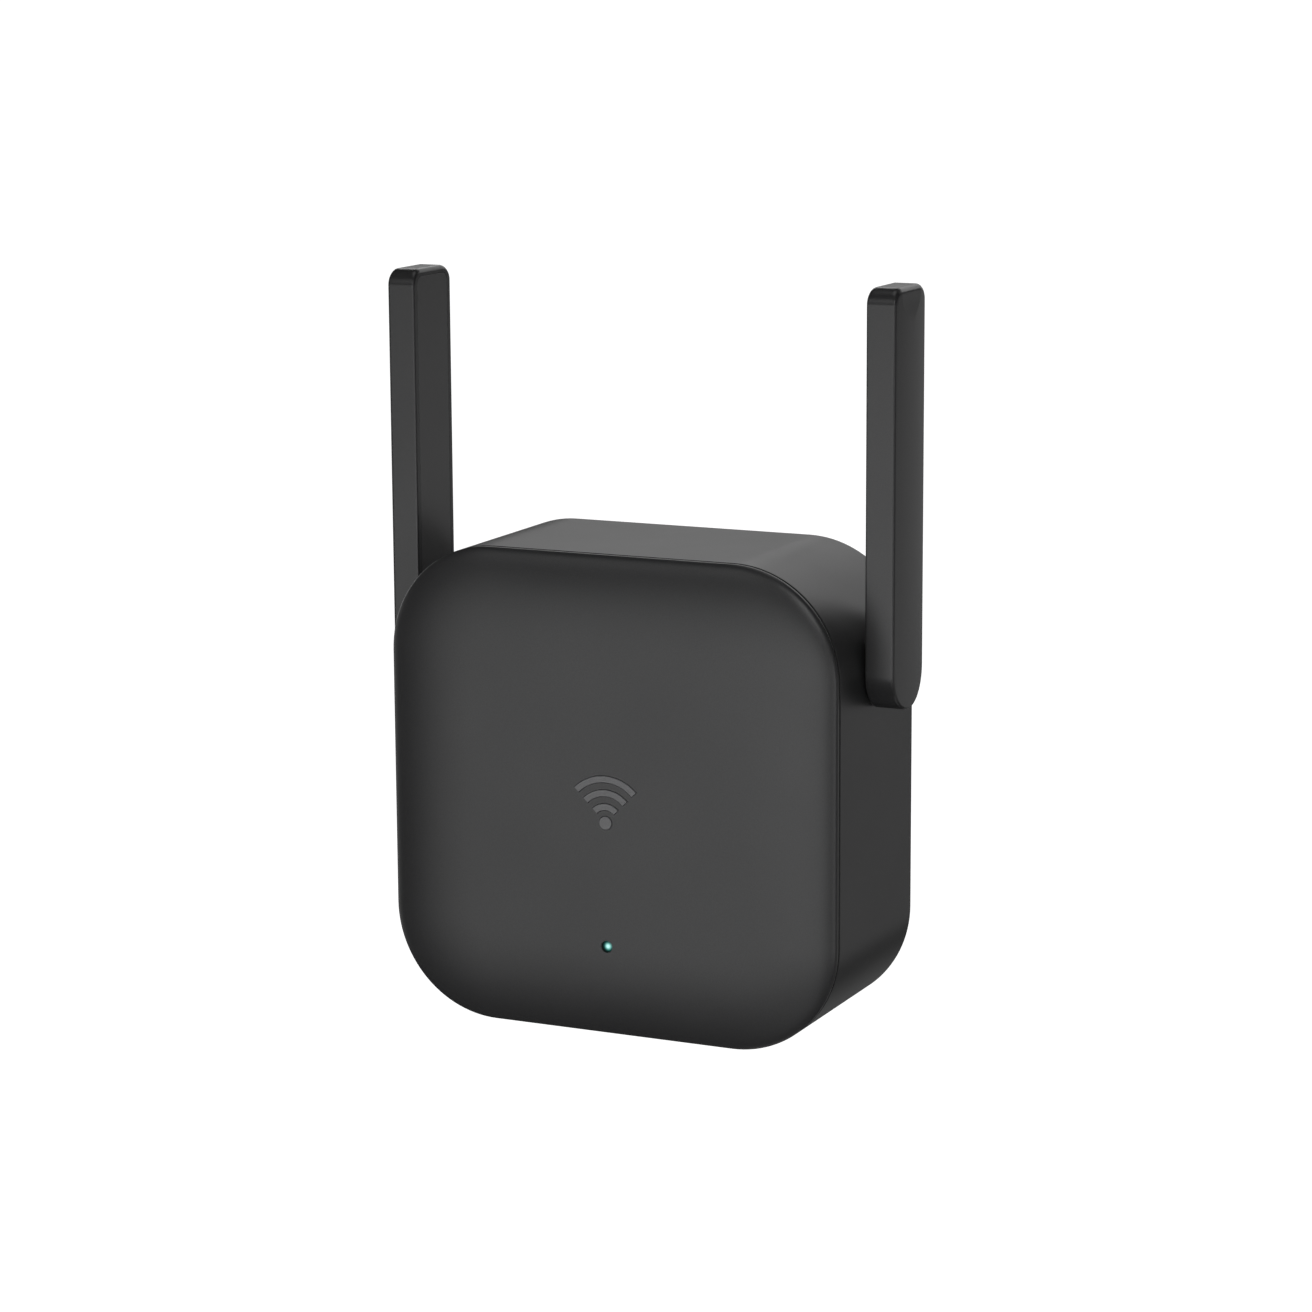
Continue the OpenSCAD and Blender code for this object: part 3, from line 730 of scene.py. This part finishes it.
def turned_ring(name, profile, centre, steps=64):
    """A ring turned round the Y axis: the profile closes on itself and meets no axis."""
    n = len(profile)
    verts = []
    for u, v in arc(0, 0, 1, 0, 360 - 360 / steps, steps - 1):
        verts += [(centre[0] + r * u, centre[1] + y, centre[2] + r * v) for r, y in profile]
    faces = []
    for k in range(steps):
        a, b = k * n, (k + 1) % steps * n
        faces += [(a + i, a + (i + 1) % n, b + (i + 1) % n, b + i) for i in range(n)]
    return new_object(name, verts, faces)


# ---------- antennas ----------

TIP_R = 2.2 * MM
TIP_FILLET = 0.8 * MM
ANTENNA_CROWN = 0.2 * MM
ANTENNA_FILLET = 0.35 * MM
INNER_TIP_FILLET = 0.7 * MM
INNER_FILLET = 0.25 * MM
ANTENNA_WALL = 1 * MM
LID_T = 1 * MM


def antenna_outline(inset, top_inset, half, tip, steps=20):
    """An antenna's side outline in Y and Z, round at the hinge; its tip is drawn in by more."""
    r = max(TIP_R - inset, 0.05 * MM)
    y, z = half - inset - r, tip - inset - r
    points = arc(HINGE.y + y, z, r, 0, 90, 8) + arc(HINGE.y - y, z, r, 90, 180, 8)
    points = [(u, v - (top_inset - inset) * (v - z) / r) for u, v in points]
    return points + arc(HINGE.y, HINGE.z, half - inset, 180, 360, 2 * steps)


def edge_inset(depth, r):
    """How far an edge rounded with radius r is drawn in at this depth below its face."""
    return r - math.sqrt(r * r - max(r - depth, 0) ** 2)


def make_antenna(paints, side):
    body = "antenna_" + side
    low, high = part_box("antenna_shell_" + side)
    sign = 1 if side == "right" else -1
    inner, outer = (low[0], high[0]) if sign > 0 else (high[0], low[0])
    half, tip = (high[1] - low[1]) / 2, high[2]

    def ring(inset, x, crowned=0.0, top_inset=None):
        points = []
        for y, z in antenna_outline(inset, top_inset or inset, half, tip):
            drop = crowned * ((y - HINGE.y) / half) ** 2
            points.append((x - sign * drop, y, z))
        return points

    edge = 0.03 * MM
    floor = inner + sign * LID_T
    rings = [ring(ANTENNA_WALL + 0.02 * MM, floor), ring(ANTENNA_WALL, floor)]
    rings += [ring(ANTENNA_WALL, inner + sign * edge), ring(ANTENNA_WALL - edge, inner)]
    depths = [TIP_FILLET * (1 - math.cos(math.pi / 2 * i / 12)) for i in range(13)]
    for depth in depths:
        inset, top_inset = edge_inset(depth, INNER_FILLET), edge_inset(depth, INNER_TIP_FILLET)
        rings.append(ring(inset, inner + sign * depth, 0, top_inset))
    for depth in reversed(depths):
        inset, top_inset = edge_inset(depth, ANTENNA_FILLET), edge_inset(depth, TIP_FILLET)
        rings.append(ring(inset, outer - sign * depth, ANTENNA_CROWN, top_inset))
    across = half - ANTENNA_FILLET - 0.3 * MM
    for i in range(1, 8):
        inset = ANTENNA_FILLET + across * i / 7
        rings.append(ring(inset, outer, ANTENNA_CROWN, max(inset, TIP_FILLET)))
    shell = loft(f"antenna_shell_{side}_piece", rings)
    finish_piece(shell, body, paints["antenna_black"], "antenna_shell_" + side)

    inset = ANTENNA_WALL + 0.03 * MM
    rings = [ring(inset + edge, inner), ring(inset, inner + sign * edge), ring(inset, floor)]
    lid = loft(f"antenna_lid_{side}_piece", rings)
    shaft_low, shaft_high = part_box("hinge_shaft_" + side)
    neck, head = SHAFT_R + FIT, (shaft_high[2] - shaft_low[2]) / 2 + FIT
    head_x = inner + sign * (SHAFT_HEAD_IN - FIT)
    start, end = inner - sign * PAST, floor + sign * PAST
    profile = [(0, start), (neck, start), (neck, head_x)]
    profile += [(head, head_x), (head, end), (0, end)]
    cut(lid, [turned("hole", profile, (0, HINGE.y, HINGE.z), axis="x")])
    finish_piece(lid, body, paints["lid_black"], "antenna_lid_" + side)


# ---------- the CAD pieces that stay ----------


def paint_frame(paints):
    for name, node in frame["nodes"].items():
        if node.hide_render:
            continue
        node.data.materials.clear()
        node.data.materials.append(paints[SLOTS[name]])


# ---------- floor, lights and surroundings ----------

FLOOR_Z = CASE_LOW[2] - 520 * MM
WHITE = 1.1  # bright enough for the camera to show pure white
OBJECT_CENTRE = Vector((0, SEAM_Y + 10 * MM, 0))
LIGHT_DISTANCE = 0.9


def make_floor():
    half, steps = 3.0, 8
    verts, faces = [], []
    for i in range(steps + 1):
        for j in range(steps + 1):
            verts.append((half * (2 * i / steps - 1), half * (2 * j / steps - 1), FLOOR_Z))
    for i in range(steps):
        for j in range(steps):
            a = i * (steps + 1) + j
            faces.append((a, a + steps + 1, a + steps + 2, a + 1))
    floor = new_object("floor", verts, faces)
    paint = Paint("floor_white", (0.9, 0.9, 0.9), 0.7).vary(0.3, 0.02, 0.02)
    paint.shader.inputs["Emission Color"].default_value = (1, 1, 1, 1)
    paint.shader.inputs["Emission Strength"].default_value = WHITE
    floor.data.materials.append(paint.done())
    floor.visible_diffuse = False
    floor.visible_glossy = False
    floor.visible_shadow = False


def softbox(name, direction, size, radiance):
    """A square light that way from the object, facing it, of the given brightness."""
    data = bpy.data.lights.new(name, "AREA")
    data.shape = "SQUARE"
    data.size = size
    data.energy = radiance * math.pi * size * size
    light = bpy.data.objects.new(name, data)
    bpy.context.collection.objects.link(light)
    outward = Vector(direction).normalized()
    light.location = OBJECT_CENTRE + outward * LIGHT_DISTANCE
    light.rotation_mode = "QUATERNION"
    light.rotation_quaternion = outward.to_track_quat("Z", "Y")
    light.visible_camera = False


def make_surroundings(level):
    """White behind the object for the camera, and an even dim grey for light."""
    world = bpy.data.worlds.new("surroundings")
    bpy.context.scene.world = world
    world.use_nodes = True
    tree = world.node_tree
    behind = tree.nodes["Background"]
    behind.inputs["Color"].default_value = (1, 1, 1, 1)
    behind.inputs["Strength"].default_value = WHITE
    around = tree.nodes.new("ShaderNodeBackground")
    around.inputs["Color"].default_value = (1, 1, 1, 1)
    around.inputs["Strength"].default_value = level
    seen = tree.nodes.new("ShaderNodeLightPath")
    either = tree.nodes.new("ShaderNodeMixShader")
    tree.links.new(seen.outputs["Is Camera Ray"], either.inputs[0])
    tree.links.new(around.outputs[0], either.inputs[1])
    tree.links.new(behind.outputs[0], either.inputs[2])
    tree.links.new(either.outputs[0], tree.nodes["World Output"].inputs["Surface"])


def make_lights():
    softbox("front_left", (-0.42, -0.89, -0.19), 0.35, 1.8)
    softbox("front_middle", (-0.05, -0.98, -0.15), 0.35, 2.2)
    softbox("front_right", (0.35, -0.92, -0.15), 0.35, 0.8)
    softbox("front_upper", (-0.35, -0.81, 0.45), 0.35, 0.9)
    softbox("front_upper_right", (0.3, -0.85, 0.45), 0.35, 2.6)
    softbox("front_lower", (0, -0.85, -0.53), 0.3, 0.5)
    softbox("right", (0.7, -0.7, -0.15), 0.35, 1.6)
    softbox("right_lower", (0.75, 0.1, -0.65), 0.4, 0.4)
    softbox("rear_right", (0.42, 0.89, -0.19), 0.35, 0.33)
    softbox("rear_right_corner", (0.72, 0.64, -0.26), 0.4, 0.35)
    softbox("rear_left_corner", (-0.68, 0.68, -0.26), 0.4, 0.8)
    softbox("rear_right_upper", (0.3, 0.85, 0.35), 0.35, 1.15)
    softbox("rear_middle", (0, 1, 0), 0.35, 0.8)
    softbox("rear_upper", (-0.05, 0.88, 0.47), 0.35, 1.2)
    softbox("rear_lower", (-0.05, 0.88, -0.47), 0.35, 0.22)
    softbox("rear_left", (-0.4, 0.8, 0.44), 0.3, 1.65)
    softbox("left", (-0.8, 0.6, 0.15), 0.4, 1.2)
    softbox("left_side", (-1, 0, -0.17), 0.5, 0.6)
    softbox("right_side", (1, 0, -0.17), 0.5, 0.38)
    softbox("overhead", (0, 0, 1), 0.5, 0.9)
    softbox("underneath", (0, 0, -1), 0.5, 0.5)
    make_surroundings(0.02)


make_camera()
all_paints = make_paints()
make_cover(all_paints)
make_emblem(all_paints)
make_light_pipe(all_paints)
make_case(all_paints)
make_plug(all_paints)
for antenna_side in ("left", "right"):
    make_antenna(all_paints, antenna_side)
paint_frame(all_paints)
make_floor()
make_lights()
bpy.context.scene.view_settings.view_transform = "Standard"
